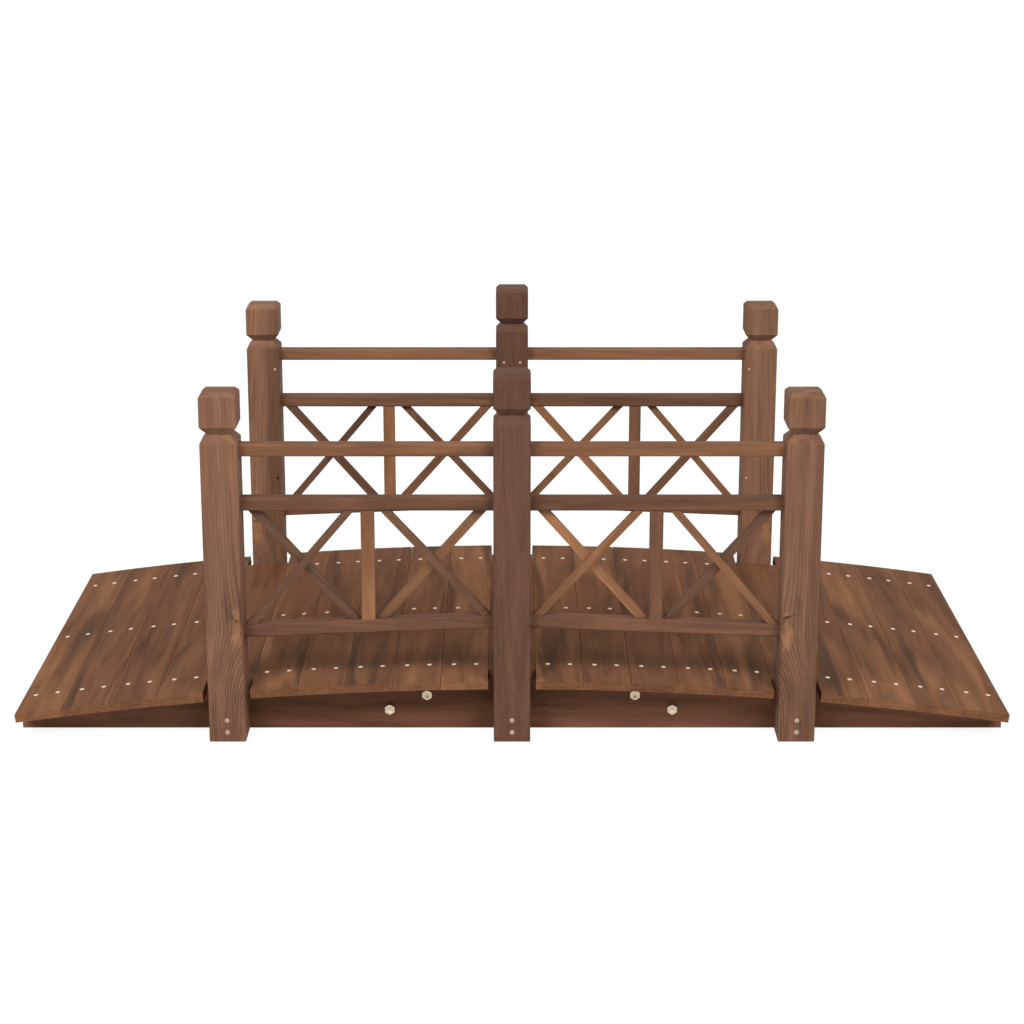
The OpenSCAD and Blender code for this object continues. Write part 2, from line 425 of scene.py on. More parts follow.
def oval(tree, where, centre, size, turn=0.0):
    """A mask, seen along Y, that is 1 in the middle of an oval and fades to 0 at its edge."""
    inside = add_node(tree, "ShaderNodeMapping", {"vector_type": "TEXTURE"}, {
        "Vector": where, "Location": (centre[0], 0.0, centre[1]), "Rotation": (0.0, turn, 0.0),
        "Scale": (size[0], THROUGH, size[1])})
    out = add_node(tree, "ShaderNodeVectorMath", {"operation": "LENGTH"}, {
        "Vector": inside.outputs["Vector"]})
    mask = add_node(tree, "ShaderNodeMapRange", {"interpolation_type": "SMOOTHSTEP"}, {
        "Value": out.outputs["Value"], "From Min": 1.0, "From Max": 0.2})
    return mask.outputs["Result"]


def mark(tree, mask, share, finish, colour):
    """Lays a share of a colour over the finish within a mask."""
    shared = add_node(tree, "ShaderNodeMath", {"operation": "MULTIPLY"}, {
        "Value": mask, "Value_001": share})
    marked = add_node(tree, "ShaderNodeMix", {"data_type": "RGBA"}, {
        "Factor_Float": shared.outputs["Value"], "A_Color": finish, "B_Color": colour})
    return marked.outputs[MIXED_COLOUR]


def add_knot(tree, where, rings, finish, knot, settings):
    """A knot near an edge: the grain bends round it, with warm patches and a short dark check across it."""
    x, z, edge = knot
    # Noise shifts the outlines by some millimetres, so that they look grown
    stray = add_node(tree, "ShaderNodeTexNoise", {}, {
        "Vector": where, "Scale": 1000 / STRAY_SIZE, "Detail": 2.0})
    centred = add_node(tree, "ShaderNodeVectorMath", {"operation": "SUBTRACT"}, {
        "Vector": stray.outputs["Color"], "Vector_001": (0.5, 0.5, 0.5)})
    astray = add_node(tree, "ShaderNodeVectorMath", {"operation": "MULTIPLY_ADD"}, {
        "Vector": centred.outputs["Vector"], "Vector_001": STRAY_REACH, "Vector_002": where})
    bend = add_node(tree, "ShaderNodeMath", {"operation": "MULTIPLY"}, {
        "Value": oval(tree, astray.outputs["Vector"], (x, z), BEND_SIZE), "Value_001": BEND_SHIFT})
    tree.links.new(bend.outputs["Value"], rings.inputs["Phase Offset"])
    for out, up, wide, high, turn, colour, share in KNOT_MARKS:
        centre = (x + edge * out / 1000, z + up / 1000)
        size = (wide / 1000, high / 1000)
        mask = oval(tree, astray.outputs["Vector"], centre, size, edge * math.radians(turn))
        finish = mark(tree, mask, share, finish, getattr(settings, colour))
    return finish


def paint_edge_highlights(tree, where, board, tilt, finish, colour):
    """Lays a painted highlight over the long edges of a board, where its eased edges would catch the light,
    and over the walls of the seams, where it lifts their shade.
    """
    across = Vector((math.cos(tilt), 0.0, -math.sin(tilt)))
    reach = [vertex.co.dot(across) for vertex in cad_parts[board].data.vertices]
    half = (max(reach) - min(reach)) / 2
    sideways = add_node(tree, "ShaderNodeVectorMath", {"operation": "DOT_PRODUCT"}, {
        "Vector": where, "Vector_001": across})
    centred = add_node(tree, "ShaderNodeMath", {"operation": "SUBTRACT"}, {
        "Value": sideways.outputs["Value"], "Value_001": min(reach) + half})
    out = add_node(tree, "ShaderNodeMath", {"operation": "ABSOLUTE"}, {"Value": centred.outputs["Value"]})
    edge_highlight = add_node(tree, "ShaderNodeMapRange", {"interpolation_type": "SMOOTHSTEP"}, {
        "Value": out.outputs["Value"], "From Min": half - EDGE_HIGHLIGHT_WIDTH, "From Max": half})
    return mark(tree, edge_highlight.outputs["Result"], EDGE_HIGHLIGHT_SHARE, finish, colour)


def drink_stain(tree, along, normal, length, figure, finish, settings):
    """Dark and warm patches where the wood drank more or less of the stain."""
    drank = add_node(tree, "ShaderNodeTexNoise", {}, {
        "Vector": along, "Scale": 1000 / THIRST_SIZE, "Detail": 2.0, "Roughness": 0.5, "Distortion": 0.9})
    thirst = add_node(tree, "ShaderNodeSeparateColor", {}, {"Color": drank.outputs["Color"]})
    # A sawn end drinks evenly
    across = add_node(tree, "ShaderNodeVectorMath", {"operation": "DOT_PRODUCT"}, {
        "Vector": normal, "Vector_001": length})
    sawn = add_node(tree, "ShaderNodeMath", {"operation": "ABSOLUTE"}, {"Value": across.outputs["Value"]})
    uneven = add_node(tree, "ShaderNodeMapRange", {}, {
        "Value": sawn.outputs["Value"], "From Min": 0.6, "From Max": 0.9, "To Min": 1.0, "To Max": 0.25})
    dark = add_node(tree, "ShaderNodeMapRange", {"interpolation_type": "SMOOTHSTEP"}, {
        "Value": thirst.outputs["Red"], "From Min": 0.48, "From Max": 0.7,
        "To Max": uneven.outputs["Result"]})
    finish = mark(tree, dark.outputs["Result"], figure.dark, finish, settings.streak)
    warm = add_node(tree, "ShaderNodeMapRange", {"interpolation_type": "SMOOTHSTEP"}, {
        "Value": thirst.outputs["Green"], "From Min": 0.5, "From Max": 0.72,
        "To Max": uneven.outputs["Result"]})
    return mark(tree, warm.outputs["Result"], figure.warm, finish, settings.warm_patch_and_highlight)


def stained_spruce(name, stain, turn, figure, seed, settings, tones=(), fade=False, lean=0.0,
                   knot=None, hole_shade=None, head=1.0, edge_highlight=False):
    """Planed spruce under a thin brown stain, with its grain along the local Z of turn.

    The thin stain leaves the growth rings and fibres in view, goes dark in streaks where the wood drinks
    more of it, stays warm where it drinks less, and dries nearly matt."""
    material = new_material(f"stained_spruce_{name}")
    tree = material.node_tree
    place = add_node(tree, "ShaderNodeTexCoord", {}, {})
    axes = add_node(tree, "ShaderNodeSeparateXYZ", {}, {"Vector": place.outputs["Object"]})
    where = place.outputs["Object"]
    centre = middle(name)
    if lean:
        where = lean_with_braces(tree, axes, lean)
        centre = Vector((0.0, 0.0, 0.0))
    if knot:
        where = arch_to_knot(tree, axes, knot)
        centre.x = 0.0
    colour = tone_stain(tree, axes, tones, fade, *stain) if tones else stain
    if head != 1.0:
        colour = tone_head(tree, axes, name, colour, head)

    # The pith lies outside the piece, and each piece is cut from another stretch of the tree
    away = 1 if knot else (-1) ** seed
    pith = Vector((figure.pith[0] * away, figure.pith[1], 0.0)) / 1000
    stretch = pith + Vector((0.0, 0.0, SEED_STEP * seed))
    turned = Matrix.Rotation(turn[1], 3, "Y") @ Matrix.Rotation(turn[0], 3, "X")
    spot = centre + turned @ stretch
    slope = (turn[0] + GRAIN_SLOPE[0], turn[1] + GRAIN_SLOPE[1], turn[2])
    grain = add_node(tree, "ShaderNodeMapping", {"vector_type": "TEXTURE"}, {
        "Vector": where, "Location": spot, "Rotation": slope, "Scale": (1.0, 1.0, GRAIN_STRETCH)})
    along = grain.outputs["Vector"]

    rings = add_node(
        tree, "ShaderNodeTexWave",
        {"wave_type": "RINGS", "rings_direction": "Z", "wave_profile": "SAW"},
        {"Vector": along, "Scale": WAVE_PERIOD / (figure.ring / 1000), "Distortion": figure.wander,
         "Detail": 2.0, "Detail Scale": figure.ring / WANDER_RING, "Detail Roughness": 0.55})
    late = add_node(tree, "ShaderNodeMapRange", {"interpolation_type": "SMOOTHSTEP"}, {
        "Value": rings.outputs["Fac"], "From Min": 0.45, "From Max": 0.95})
    streak = add_node(tree, "ShaderNodeTexNoise", {}, {
        "Vector": along, "Scale": 1000 / STREAK_SIZE, "Detail": 2.0, "Roughness": 0.5})
    fibre = add_node(tree, "ShaderNodeTexNoise", {}, {
        "Vector": along, "Scale": 1000 / FIBRE_SIZE, "Detail": 2.0, "Roughness": 0.6})

    # Streaks and fibres lighten and darken the stain, late wood only darkens it, in some stretches more
    streaked = add_node(tree, "ShaderNodeMapRange", {}, {
        "Value": streak.outputs["Fac"], "From Min": 0.3, "From Max": 0.7,
        "To Min": 1 - figure.streak, "To Max": 1 + figure.streak})
    fibred = add_node(tree, "ShaderNodeMapRange", {}, {
        "Value": fibre.outputs["Fac"], "From Min": 0.3, "From Max": 0.7,
        "To Min": -figure.fibre, "To Max": figure.fibre})
    toned = add_node(tree, "ShaderNodeMath", {"operation": "ADD"}, {
        "Value": streaked.outputs["Result"], "Value_001": fibred.outputs["Result"]})
    stretch_noise = add_node(tree, "ShaderNodeTexNoise", {}, {
        "Vector": place.outputs["Object"], "Scale": 1000 / CLEAR_SIZE, "Detail": 1.0})
    clear = add_node(tree, "ShaderNodeMapRange", {}, {
        "Value": stretch_noise.outputs["Fac"], "From Min": 0.35, "From Max": 0.65,
        "To Min": -0.5 * figure.late, "To Max": -1.4 * figure.late})
    if knot:
        # Below a knot the rings show more than above it
        tree.links.new(axes.outputs["Z"], clear.inputs["Value"])
        clear.inputs["From Min"].default_value = knot[1] + FADE_ABOVE
        clear.inputs["From Max"].default_value = knot[1] - FADE_BELOW
    ringed = add_node(tree, "ShaderNodeMath", {"operation": "MULTIPLY_ADD"}, {
        "Value": late.outputs["Result"], "Value_001": clear.outputs["Result"],
        "Value_002": toned.outputs["Value"]})
    figured = add_node(tree, "ShaderNodeHueSaturation", {}, {
        "Color": colour, "Value": ringed.outputs["Value"]})

    length = turned @ Vector((0.0, 0.0, 1.0))
    finish = drink_stain(
        tree, along, place.outputs["Normal"], length, figure, figured.outputs["Color"], settings)
    # Painted highlight along the long edges of a board
    if edge_highlight:
        finish = paint_edge_highlights(tree, place.outputs["Object"], name, turn[1], finish, settings.warm_patch_and_highlight)
    if knot:
        finish = add_knot(tree, place.outputs["Object"], rings, finish, knot, settings)
    # Painted shade in the hole of the sunk screw
    if hole_shade:
        hole_shade_mask = oval(tree, place.outputs["Object"], hole_shade, (HOLE_RADIUS, HOLE_RADIUS))
        finish = mark(tree, hole_shade_mask, HOLE_SHADE_SHARE, finish, settings.hole_shade)

    sheen = add_node(tree, "ShaderNodeMapRange", {}, {
        "Value": fibre.outputs["Fac"], "To Min": 0.6, "To Max": 0.78})
    relief = add_node(tree, "ShaderNodeBump", {}, {
        "Strength": 0.35, "Distance": 0.0006, "Height": ringed.outputs["Value"]})
    surface = add_node(tree, "ShaderNodeBsdfPrincipled", {}, {
        "Base Color": finish, "Roughness": sheen.outputs["Result"], "IOR": 1.5, "Specular IOR Level": 0.1,
        "Normal": relief.outputs["Normal"]})
    add_node(tree, "ShaderNodeOutputMaterial", {}, {"Surface": surface.outputs["BSDF"]})
    return material


def zinc_plate(name, colour, roughness):
    """Zinc plated steel: a bright metal, clouded by the fine crystals of the plating."""
    material = new_material(name)
    tree = material.node_tree
    place = add_node(tree, "ShaderNodeTexCoord", {}, {})
    crystals = add_node(tree, "ShaderNodeTexNoise", {}, {
        "Vector": place.outputs["Object"], "Scale": 1000 / CRYSTAL_SIZE, "Detail": 2.0})
    clouded = add_node(tree, "ShaderNodeMapRange", {}, {
        "Value": crystals.outputs["Fac"], "To Min": 0.82, "To Max": 1.1})
    tint = add_node(tree, "ShaderNodeHueSaturation", {}, {
        "Color": colour, "Value": clouded.outputs["Result"]})
    polish = add_node(tree, "ShaderNodeMapRange", {}, {
        "Value": crystals.outputs["Fac"], "To Min": roughness - CLOUDING, "To Max": roughness + CLOUDING})
    surface = add_node(tree, "ShaderNodeBsdfPrincipled", {}, {
        "Base Color": tint.outputs["Color"], "Metallic": 1.0, "Roughness": polish.outputs["Result"]})
    add_node(tree, "ShaderNodeOutputMaterial", {}, {"Surface": surface.outputs["BSDF"]})
    return material


def paint(node, material):
    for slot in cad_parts[node].material_slots:
        slot.material = material


def select_faces(piece, wanted):
    """Goes into edit mode on a piece with only the wanted faces selected."""
    bpy.ops.object.mode_set(mode="EDIT")
    bpy.ops.mesh.select_mode(type="FACE")
    bpy.ops.mesh.select_all(action="DESELECT")
    bpy.ops.object.mode_set(mode="OBJECT")
    for face in piece.data.polygons:
        face.select = wanted(face)
    bpy.ops.object.mode_set(mode="EDIT")


def faces_up(face):
    return face.normal.z > 0.99


def cut(piece, tool, operation):
    """Cuts a piece with a tool, keeps only what lies inside it or joins it on, and takes the tool away."""
    bpy.context.view_layer.objects.active = piece
    boolean = piece.modifiers.new("cut", "BOOLEAN")
    boolean.operation = operation
    boolean.solver = "EXACT"
    boolean.use_self = True
    boolean.object = tool
    bpy.ops.object.modifier_apply(modifier=boolean.name)
    bpy.data.objects.remove(tool)


def facing(side):
    """Turns a fastener that is modelled facing up to face out of the near or far side."""
    about = math.pi if side > 0 else 0.0
    return Matrix.Rotation(about, 4, "Z") @ Matrix.Rotation(math.pi / 2, 4, "X")


def repeat(pattern, name, spots, material):
    """Copies a pattern to each spot, joins the copies into one piece and fixes it to the bridge."""
    if not spots:
        raise RuntimeError(f"{name} has no place to go")
    bpy.ops.object.select_all(action="DESELECT")
    for spot in spots:
        copy = bpy.data.objects.new(name, pattern.data.copy())
        copy.data.transform(spot @ pattern.matrix_basis)
        bpy.context.collection.objects.link(copy)
        copy.select_set(True)
        bpy.context.view_layer.objects.active = copy
    bpy.ops.object.join()
    piece = bpy.context.active_object
    piece.name = name
    piece.data.materials.clear()
    piece.data.materials.append(material)
    bpy.data.objects.remove(pattern)
    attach(piece, "root")


def model_nail_head(diameter):
    """A flat round head with a low crown, a little proud of the wood."""
    bpy.ops.object.select_all(action="DESELECT")
    bpy.ops.mesh.primitive_cylinder_add(
        vertices=12, radius=diameter / 2, depth=diameter * 0.16, location=(0, 0, 0))
    head = bpy.context.active_object
    select_faces(head, faces_up)
    # Two steps make the crown: how far each goes in, and how far up
    for inset, rise in ((0.1, 0.04), (0.15, 0.015)):
        bpy.ops.mesh.inset(thickness=diameter * inset)
        bpy.ops.transform.translate(value=(0, 0, diameter * rise))
    bpy.ops.object.mode_set(mode="OBJECT")
    bpy.ops.object.shade_smooth_by_angle(angle=math.radians(40))
    return head


def model_screw_head(diameter):
    """A countersunk head with a low crown, its rim just clear of the wood, and a cross recess."""
    height = diameter * 0.2
    rim = diameter * 0.05
    crown = diameter * 0.05
    bpy.ops.object.select_all(action="DESELECT")
    bpy.ops.mesh.primitive_cylinder_add(
        vertices=24, radius=diameter / 2, depth=height, location=(0, 0, rim - height / 2))
    head = bpy.context.active_object
    select_faces(head, faces_up)
    bpy.ops.mesh.inset(thickness=diameter * 0.12)
    bpy.ops.transform.translate(value=(0, 0, crown))
    bpy.ops.object.mode_set(mode="OBJECT")

    # The recess stays clear of the wood, which goes on under the head
    depth = diameter * 0.1
    slot = (diameter * 0.52, diameter * 0.14, depth)
    recess = rim / 4 + depth / 2
    bpy.ops.mesh.primitive_cube_add(size=1.0, location=(0, 0, recess))
    cross = bpy.context.active_object
    bpy.ops.object.mode_set(mode="EDIT")
    bpy.ops.transform.resize(value=slot)
    bpy.ops.mesh.duplicate()
    bpy.ops.transform.rotate(value=math.pi / 2, orient_axis="Z", center_override=(0, 0, recess))
    bpy.ops.object.mode_set(mode="OBJECT")
    cut(head, cross, "DIFFERENCE")
    return head


def model_hexagon(flats, height):
    """A hexagon with the chamfer that a bolt head or nut has on its outer face."""
    bpy.ops.object.select_all(action="DESELECT")
    bpy.ops.mesh.primitive_cylinder_add(
        vertices=6, radius=flats / math.sqrt(3), depth=height, location=(0, 0, height / 2))
    hexagon = bpy.context.active_object
    # A cone of 30 degrees takes off the corners, and leaves a round face a little narrower than the flats
    rim = flats * 0.475
    spread = height / math.tan(math.radians(30))
    bpy.ops.mesh.primitive_cone_add(
        vertices=48, radius1=rim + spread, radius2=rim, depth=height, location=(0, 0, height / 2))
    cut(hexagon, bpy.context.active_object, "INTERSECT")
    return hexagon


def model_bolt_head(flats, height):
    """A hexagon head with a shallow dish in its face."""
    head = model_hexagon(flats, height)
    # The cone that cuts the dish is centred just under the face
    dish = height * 0.4
    bpy.ops.mesh.primitive_cone_add(
        vertices=32, radius1=flats * 0.06, radius2=flats * 0.34, depth=dish, location=(0, 0, height * 0.81))
    cut(head, bpy.context.active_object, "DIFFERENCE")
    return head


def model_nut(flats, height, shank):
    """A hexagon nut with the end of its bolt standing out of it."""
    nut = model_hexagon(flats, height)
    length = height * 1.6
    bpy.ops.mesh.primitive_cylinder_add(
        vertices=24, radius=shank / 2, depth=length, location=(0, 0, length / 2))
    shank_end = bpy.context.active_object
    select_faces(shank_end, faces_up)
    bpy.ops.mesh.bevel(offset=shank * 0.1, segments=1)
    bpy.ops.object.mode_set(mode="OBJECT")
    cut(nut, shank_end, "UNION")
    return nut


class GARDENBRIDGE_OT_posts(bpy.types.Operator):
    """Stain the six posts."""

    bl_idname = "garden_bridge.posts"
    bl_label = "Stain Posts"

    # The outer posts are cut from further up the tree than the middle ones
    outer_seed = 4
    # How much paler or darker than its shaft the head of a post is
    heads = {"near_middle_post": 0.84, "far_left_post": 1.16, "far_right_post": 0.89}

    def execute(self, context):
        stain = context.scene.bridge_stain
        sunk_post, sunk = SUNK_SCREW
        for seed, post in enumerate(OUTER_POSTS, self.outer_seed):
            # A near post has its knot at the edge that faces the middle, a far post at the other edge
            x = middle(post).x
            near = side_of(post) < 0
            edge = math.copysign(1, -x if near else x)
            knot = (x + KNOT_OFF * edge, NEAR_KNOT_Z if near else FAR_KNOT_Z, edge)
            screws = rail_screw_places(post, context.scene.bridge_fasteners)
            hole_shade = screws[sunk] if post == sunk_post else None
            # The far posts take the paler stain, painted light for the lamps in front
            paint(post, stained_spruce(
                post, stain.outer_post if near else stain.far_outer_post, ALONG_Z, POST_FIGURE, seed, stain,
                knot=knot, hole_shade=hole_shade, head=self.heads.get(post, 1.0)))
        for seed, post in enumerate(MIDDLE_POSTS):
            paint(post, stained_spruce(
                post, stain.middle_post, ALONG_Z, PLAIN_FIGURE, seed, stain,
                head=self.heads.get(post, 1.0)))
        return {"FINISHED"}


class GARDENBRIDGE_OT_beams(bpy.types.Operator):
    """Stain the beams and the splice boards."""

    bl_idname = "garden_bridge.beams"
    bl_label = "Stain Beams"

    # Where along the beams, and 0 for the stain of the middle to 1 for that of the ends, which are painted
    # lighter to lift the shade under the overhanging deck
    tones = ((-0.7, 0.85), (-0.4, 0.0), (0.025, 0.0), (0.03, 0.2), (0.4, 0.25), (0.7, 1.0))

    def execute(self, context):
        stain = context.scene.bridge_stain
        for seed, beam in enumerate(BEAMS):
            paint(beam, stained_spruce(
                beam, (stain.beam, stain.beam_end_painted_light), ALONG_X, BEAM_FIGURE, seed, stain, self.tones,
                fade=True))
        return {"FINISHED"}


class GARDENBRIDGE_OT_boards(bpy.types.Operator):
    """Stain the deck boards, each a little paler or darker than the next."""

    bl_idname = "garden_bridge.boards"
    bl_label = "Stain Deck Boards"

    # Every ninth board is pale, and steps of the golden ratio spread the others over the darker half
    pale_every = 9
    darker = 0.5
    golden = 0.618

    def execute(self, context):
        stain = context.scene.bridge_stain
        for seed, board in enumerate(BOARDS):
            tilt = board_top(board)[1]
            turn = (ALONG_Y[0], math.atan2(tilt.x, tilt.z), 0.0)
            shade = self.darker * ((seed * self.golden) % 1) if seed % self.pale_every else 1.0
            colour = [a + (b - a) * shade for a, b in zip(stain.dark_board, stain.pale_board)]
            # Each board gets a painted highlight along its long edges
            paint(board, stained_spruce(board, colour, turn, BOARD_FIGURE, seed, stain, edge_highlight=True))
        return {"FINISHED"}


class GARDENBRIDGE_OT_rails(bpy.types.Operator):
    """Stain the handrails, middle rails and lower rails."""

    bl_idname = "garden_bridge.rails"
    bl_label = "Stain Rails"

    # From left to right, 0 for the dark stain to 1 for the pale one
    tones = {
        "near_middle_rails": (0.35, 0.05),
        "near_lower_rails": (0.3, 0.55),
        "far_middle_rails": (0.85, 0.4),
        "far_lower_rails": (0.5, 0.85),
    }

    def execute(self, context):
        stain = context.scene.bridge_stain
        ends = (stain.dark_rail, stain.pale_rail)
        for seed, (rail, tones) in enumerate(self.tones.items()):
            paint(rail, stained_spruce(rail, ends, ALONG_X, RAIL_FIGURE, seed, stain, stretches(tones)))
        # The far handrails take the paler stain, painted light for the lamps in front
        handrails = {"near_handrails": stain.handrail, "far_handrails": stain.far_handrail_painted_light}
        for seed, (rail, colour) in enumerate(handrails.items()):
            paint(rail, stained_spruce(rail, colour, ALONG_X, RAIL_FIGURE, seed, stain))
        return {"FINISHED"}


class GARDENBRIDGE_OT_lattice(bpy.types.Operator):
    """Stain the struts and braces of the railings, which differ from one to the next."""

    bl_idname = "garden_bridge.lattice"
    bl_label = "Stain Lattice"

    # From left to right, 0 for the dark stain to 1 for the pale one
    tones = {
        "near_struts": (0.85, 0.25),
        "near_outer_braces": (0.15, 0.15, 0.65, 0.5),
        "near_inner_braces": (0.05, 0.45, 0.92, 0.05),
        "far_struts": (0.75, 0.3),
        "far_outer_braces": (0.1, 0.2, 0.6, 0.6),
        "far_inner_braces": (0.2, 0.7, 1.0, 0.2),
    }

    def execute(self, context):
        stain = context.scene.bridge_stain
        ends = (stain.dark_brace, stain.pale_brace)
        for seed, (node, tones) in enumerate(self.tones.items()):
            lean = 0.0
            if "braces" in node:
                lean = (math.pi / 2 - brace_lean(node)) * (-1 if "outer" in node else 1)
            paint(node, stained_spruce(
                node, ends, ALONG_Z, BRACE_FIGURE, seed, stain, stretches(tones), lean=lean))
        return {"FINISHED"}


class GARDENBRIDGE_OT_nails(bpy.types.Operator):
    """Nail the deck boards to the three beams."""

    bl_idname = "garden_bridge.nails"
    bl_label = "Add Nails"

    def execute(self, context):
        fasteners = context.scene.bridge_fasteners
        faces = levels("left_beams", 1)
        beams = [(low + high) / 2 for low, high in zip(faces[::2], faces[1::2])]
        longest = max(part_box(board)[1].y for board in BOARDS)
        spots = []
        for board in BOARDS:
            top, normal = board_top(board)
            cut_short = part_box(board)[1].y < longest - fasteners.nail_head
            tilt = Matrix.Rotation(math.atan2(normal.x, normal.z), 4, "Y")
            for y in beams[1:2] if cut_short else beams:
                for across in (-fasteners.nail_spread / 2, fasteners.nail_spread / 2):
                    spots.append(Matrix.Translation(top) @ tilt @ Matrix.Translation((across, y, 0)))
        zinc = zinc_plate("zinc_plated_nails", fasteners.zinc, roughness=0.42)
        repeat(model_nail_head(fasteners.nail_head), "nail_heads", spots, zinc)
        return {"FINISHED"}


class GARDENBRIDGE_OT_foot_screws(bpy.types.Operator):
    """Screw the feet of the posts to the beams."""

    bl_idname = "garden_bridge.foot_screws"
    bl_label = "Add Foot Screws"

    def execute(self, context):
        fasteners = context.scene.bridge_fasteners
        spots = []
        for post in OUTER_POSTS + MIDDLE_POSTS:
            side = side_of(post)
            low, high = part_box(post)
            face = (low if side < 0 else high).y
            for z in (fasteners.foot_screw_low, fasteners.foot_screw_high):
                spots.append(Matrix.Translation((middle(post).x, face, z)) @ facing(side))
        zinc = zinc_plate("dull_zinc_plated_foot_screws", fasteners.dull_zinc, roughness=0.45)
        repeat(model_screw_head(fasteners.foot_screw_head), "foot_screws", spots, zinc)
        return {"FINISHED"}


class GARDENBRIDGE_OT_bolts(bpy.types.Operator):
    """Bolt the splice boards to the beams."""

    bl_idname = "garden_bridge.bolts"
    bl_label = "Add Bolts"

    def execute(self, context):
        fasteners = context.scene.bridge_fasteners
        beam_faces = levels("left_beams", 1)
        splice_faces = levels("splice_boards", 1)
        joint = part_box("left_beams")[1].x
        # Heads lie on the outer faces of the outer beams and the near face of the middle one, and nuts on
        # the splice board at the other side of each beam
        head_faces = ((beam_faces[0], -1), (beam_faces[2], -1), (beam_faces[-1], 1))
        nut_faces = ((splice_faces[1], 1), (splice_faces[3], 1), (splice_faces[4], -1))
        inner = (fasteners.inner_bolt, fasteners.inner_bolt_z)
        outer = (fasteners.outer_bolt, fasteners.outer_bolt_z)
        places = [(x, z) for out, z in (inner, outer) for x in (joint - out, joint + out)]
        heads = []
        nuts = []
        for x, z in places:
            for face, side in head_faces:
                heads.append(Matrix.Translation((x, face, z)) @ facing(side))
            for face, side in nut_faces:
                nuts.append(Matrix.Translation((x, face, z)) @ facing(side))
        zinc = zinc_plate("yellow_zinc_plated_bolts", fasteners.yellow_zinc, roughness=0.4)
        repeat(model_bolt_head(fasteners.bolt_flats, fasteners.bolt_head), "bolt_heads", heads, zinc)
        nut = model_nut(fasteners.bolt_flats, fasteners.bolt_head, fasteners.bolt_shank)
        repeat(nut, "bolt_nuts", nuts, zinc)
        return {"FINISHED"}


class GARDENBRIDGE_OT_rail_screws(bpy.types.Operator):
    """Screw the posts to the ends of the rails, from the walkway side."""

    bl_idname = "garden_bridge.rail_screws"
    bl_label = "Add Rail Screws"

    def execute(self, context):
        fasteners = context.scene.bridge_fasteners
        spots = []
        for post in OUTER_POSTS + MIDDLE_POSTS:
            side = side_of(post)
            low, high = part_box(post)
            face = (high if side < 0 else low).y
            for place, (x, z) in enumerate(rail_screw_places(post, fasteners)):
                if (post, place) != SUNK_SCREW:
                    spots.append(Matrix.Translation((x, face, z)) @ facing(-side))
        zinc = zinc_plate("dull_zinc_plated_rail_screws", fasteners.dull_zinc, roughness=0.45)
        repeat(model_screw_head(fasteners.rail_screw_head), "rail_screws", spots, zinc)
        return {"FINISHED"}


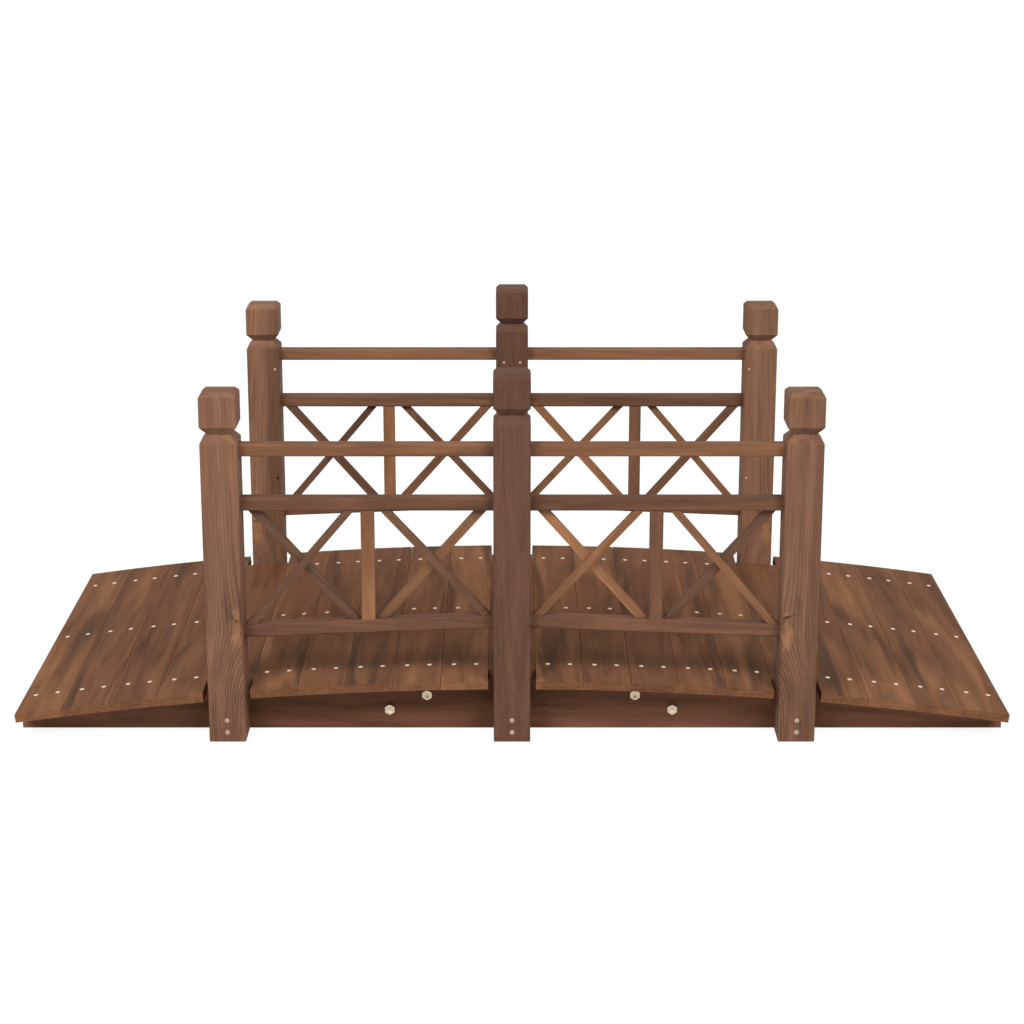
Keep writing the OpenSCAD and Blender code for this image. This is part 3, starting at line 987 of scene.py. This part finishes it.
class GARDENBRIDGE_OT_stage(bpy.types.Operator):
    """Set up the floor, the light and the camera."""

    bl_idname = "garden_bridge.stage"
    bl_label = "Set Up Stage"

    def execute(self, context):
        settings = context.scene.bridge_stage
        context.scene.view_settings.view_transform = "Standard"
        self.lay_floor(settings)
        self.light(context, settings)
        bpy.ops.object.camera_add(
            location=CAMERA_PLACE, rotation=(math.radians(90 - CAMERA_DIP), 0.0, 0.0))
        camera = context.active_object
        camera.data.lens = CAMERA_LENS
        camera.data.shift_y = CAMERA_SHIFT
        context.scene.camera = camera
        return {"FINISHED"}

    def seen_directly(self, tree):
        """1 for what the camera or polished metal sees, and 0 for the light that other surfaces get."""
        ray = add_node(tree, "ShaderNodeLightPath", {}, {})
        seen = add_node(tree, "ShaderNodeMath", {"operation": "MAXIMUM"}, {
            "Value": ray.outputs["Is Camera Ray"], "Value_001": ray.outputs["Is Glossy Ray"]})
        return seen.outputs["Value"]

    def lay_floor(self, settings):
        """Smooth white paper: matt and even, so that the camera and polished metal see plain white, with a
        faint shadow round the bridge and painted shade between the beams."""
        bpy.ops.object.select_all(action="DESELECT")
        bpy.ops.mesh.primitive_plane_add(size=FLOOR_SIZE, location=(0.0, 0.0, -FLOOR_DROP))
        floor = bpy.context.active_object
        floor.name = "floor"
        material = new_material("white_paper_floor")
        tree = material.node_tree
        seen = self.seen_directly(tree)
        # Painted shade: the white that the camera sees fades out between the beams, where next to no light
        # reaches the floor, other than close to their ends
        place = add_node(tree, "ShaderNodeTexCoord", {}, {})
        out = add_node(tree, "ShaderNodeVectorMath", {"operation": "ABSOLUTE"}, {
            "Vector": place.outputs["Object"]})
        end = -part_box("left_beams")[0].x
        inner_face, outer_face = levels("left_beams", 1)[-2:]
        reach = add_node(tree, "ShaderNodeMapRange", {
            "data_type": "FLOAT_VECTOR", "interpolation_type": "SMOOTHSTEP"}, {
            "Vector": out.outputs["Vector"], "From_Min_FLOAT3": (end - LIGHT_REACH, inner_face, 0.0),
            "From_Max_FLOAT3": (end, outer_face, 1.0), "To_Max_FLOAT3": (1 - settings.shadow,) * 3})
        sides = add_node(tree, "ShaderNodeSeparateXYZ", {}, {"Vector": reach.outputs["Vector"]})
        lit = add_node(tree, "ShaderNodeMath", {"operation": "MAXIMUM"}, {
            "Value": sides.outputs["X"], "Value_001": sides.outputs["Y"]})
        glow = add_node(tree, "ShaderNodeMath", {"operation": "MULTIPLY"}, {
            "Value": seen, "Value_001": lit.outputs["Value"]})
        # The lamps and the sky light the open floor at half of white or more, so twice the share that the
        # glow leaves out makes it white there
        tint = add_node(tree, "ShaderNodeMix", {"data_type": "RGBA"}, {
            "Factor_Float": seen, "A_Color": settings.floor,
            "B_Color": (2 * settings.shadow,) * 3 + (1.0,)})
        paper = add_node(tree, "ShaderNodeBsdfDiffuse", {}, {"Color": tint.outputs[MIXED_COLOUR]})
        white = add_node(tree, "ShaderNodeEmission", {}, {
            "Color": WHITE, "Strength": glow.outputs["Value"]})
        both = add_node(tree, "ShaderNodeAddShader", {}, {
            "Shader": paper.outputs["BSDF"], "Shader_001": white.outputs["Emission"]})
        add_node(tree, "ShaderNodeOutputMaterial", {}, {"Surface": both.outputs["Shader"]})
        floor.data.materials.append(material)

    def light(self, context, settings):
        """An even sky that looks white, two soft lamps in front and above, and a weaker one behind."""
        world = bpy.data.worlds.new("studio")
        world.use_nodes = True
        tree = world.node_tree
        tree.nodes.clear()
        strength = add_node(tree, "ShaderNodeMapRange", {}, {
            "Value": self.seen_directly(tree), "To Min": settings.sky, "To Max": 1.0})
        sky = add_node(tree, "ShaderNodeBackground", {}, {
            "Color": WHITE, "Strength": strength.outputs["Result"]})
        add_node(tree, "ShaderNodeOutputWorld", {}, {"Surface": sky.outputs["Background"]})
        context.scene.world = world

        for name, place in LAMP_PLACES.items():
            towards = (LAMP_AIM - Vector(place)).to_track_quat("-Z", "Y")
            bpy.ops.object.light_add(type="AREA", location=place, rotation=towards.to_euler())
            lamp = context.active_object
            lamp.name = name
            lamp.data.size = settings.lamp_size
            in_front = name != "back_lamp"
            lamp.data.energy = settings.lamp_power if in_front else settings.back_power
            # The lamp behind adds no sheen to the deck
            lamp.visible_glossy = in_front


class GARDENBRIDGE_PT_panel(bpy.types.Panel):
    """Lists the steps that dress the bridge, and their settings."""

    bl_label = "Garden Bridge"
    bl_idname = "GARDENBRIDGE_PT_panel"
    bl_space_type = "VIEW_3D"
    bl_region_type = "UI"
    bl_category = "Garden Bridge"

    def draw(self, context):
        for step in STEPS:
            self.layout.operator(step.bl_idname)
        for group in SETTINGS:
            settings = getattr(context.scene, group)
            box = self.layout.box()
            for name in settings.__annotations__:
                box.prop(settings, name)


STEPS = (
    GARDENBRIDGE_OT_posts,
    GARDENBRIDGE_OT_beams,
    GARDENBRIDGE_OT_boards,
    GARDENBRIDGE_OT_rails,
    GARDENBRIDGE_OT_lattice,
    GARDENBRIDGE_OT_nails,
    GARDENBRIDGE_OT_foot_screws,
    GARDENBRIDGE_OT_bolts,
    GARDENBRIDGE_OT_rail_screws,
    GARDENBRIDGE_OT_stage,
)
SETTINGS = {
    "bridge_stain": StainSettings,
    "bridge_fasteners": FastenerSettings,
    "bridge_stage": StageSettings,
}


def register():
    for group in SETTINGS.values():
        bpy.utils.register_class(group)
    for name, group in SETTINGS.items():
        setattr(bpy.types.Scene, name, bpy.props.PointerProperty(type=group))
    for step in STEPS:
        bpy.utils.register_class(step)
    bpy.utils.register_class(GARDENBRIDGE_PT_panel)


def unregister():
    bpy.utils.unregister_class(GARDENBRIDGE_PT_panel)
    for step in reversed(STEPS):
        bpy.utils.unregister_class(step)
    for name in SETTINGS:
        delattr(bpy.types.Scene, name)
    for group in SETTINGS.values():
        bpy.utils.unregister_class(group)


def main():
    register()
    bpy.ops.garden_bridge.posts()
    bpy.ops.garden_bridge.beams()
    bpy.ops.garden_bridge.boards()
    bpy.ops.garden_bridge.rails()
    bpy.ops.garden_bridge.lattice()
    bpy.ops.garden_bridge.nails()
    bpy.ops.garden_bridge.foot_screws()
    bpy.ops.garden_bridge.bolts()
    bpy.ops.garden_bridge.rail_screws()
    bpy.ops.garden_bridge.stage()


if __name__ == "__main__":
    main()
